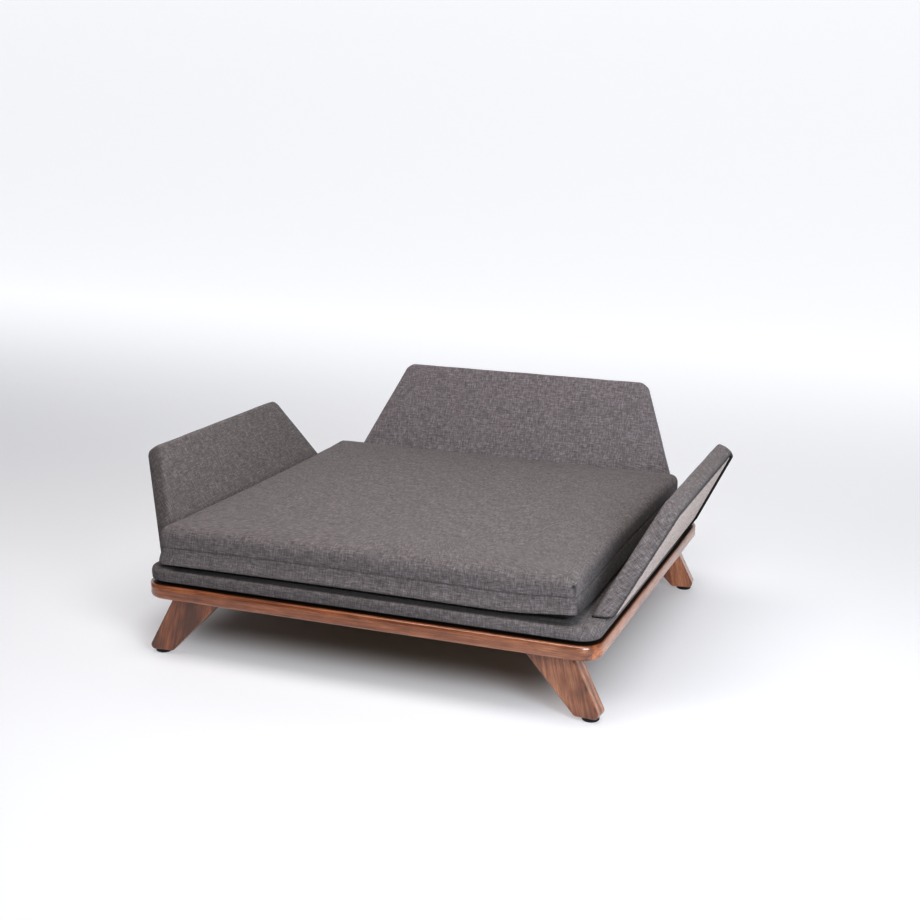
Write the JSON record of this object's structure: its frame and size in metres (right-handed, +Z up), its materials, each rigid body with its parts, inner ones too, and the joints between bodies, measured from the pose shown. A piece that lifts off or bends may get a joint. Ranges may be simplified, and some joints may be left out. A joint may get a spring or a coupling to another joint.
{
  "type": "pet bed",
  "caption": "Low raised pet bed: a walnut frame on splayed board legs, an upholstered platform, padded leaning side and back wings, and a loose boxed cushion with a zip.",
  "frame": {"origin": "on the floor, at the middle of the whole bed's footprint, leaning wings included", "axes": "+X is the right-hand side seen from the open front, +Y the back wing, +Z up"},
  "size_m": [0.7274, 0.6552, 0.2886],
  "materials": {
    "walnut": "satin oiled walnut, grain along each piece",
    "plywood": "raw birch plywood",
    "glide_plastic": "matte black",
    "zinc_steel": "bright zinc plate",
    "foam": "upholstery foam, fully covered",
    "linen": "dark warm-grey melange linen weave",
    "zip_textile": "woven black zip tape",
    "zip_coil_nylon": "black nylon coil",
    "zip_metal": "black enamelled zinc"
  },
  "bodies": {
    "bed_frame": {"front_rail": "walnut", "back_rail": "walnut", "left_rail": "walnut", "right_rail": "walnut", "front_left_leg": "walnut", "front_left_glide": "glide_plastic", "front_right_leg": "walnut", "front_right_glide": "glide_plastic", "back_left_leg": "walnut", "back_left_glide": "glide_plastic", "back_right_leg": "walnut", "back_right_glide": "glide_plastic", "corner_splines": "plywood", "platform_board": "plywood", "glide_nails": "zinc_steel", "leg_screws": "zinc_steel", "platform_screws": "zinc_steel", "left_wing_core": "plywood", "left_wing_panel_board": "plywood", "left_wing_foam": "foam", "left_wing_cover": "linen", "left_wing_panel_cover": "linen", "left_wing_brackets": "zinc_steel", "left_wing_bracket_screws": "zinc_steel", "right_wing_core": "plywood", "right_wing_panel_board": "plywood", "right_wing_foam": "foam", "right_wing_cover": "linen", "right_wing_panel_cover": "linen", "right_wing_brackets": "zinc_steel", "right_wing_bracket_screws": "zinc_steel", "back_wing_core": "plywood", "back_wing_panel_board": "plywood", "back_wing_foam": "foam", "back_wing_cover": "linen", "back_wing_panel_cover": "linen", "back_wing_brackets": "zinc_steel", "back_wing_bracket_screws": "zinc_steel", "platform_foam": "foam", "platform_cover": "linen"},
    "cushion": {"cushion_foam": "foam", "cushion_cover": "linen", "zip_tape": "zip_textile", "zip_coil": "zip_coil_nylon"},
    "zip_slider": {"zip_slider": "zip_metal"}
  },
  "joints": [
    {"name": "cushion_lift", "type": "slide", "parent": "bed_frame", "child": "cushion", "axis": [0, 0, 1], "range_m": [0, 0.15]},
    {"name": "zip_slide", "type": "slide", "parent": "cushion", "child": "zip_slider", "axis": [1, 0, 0], "range_m": [0, 0.422]}
  ]
}
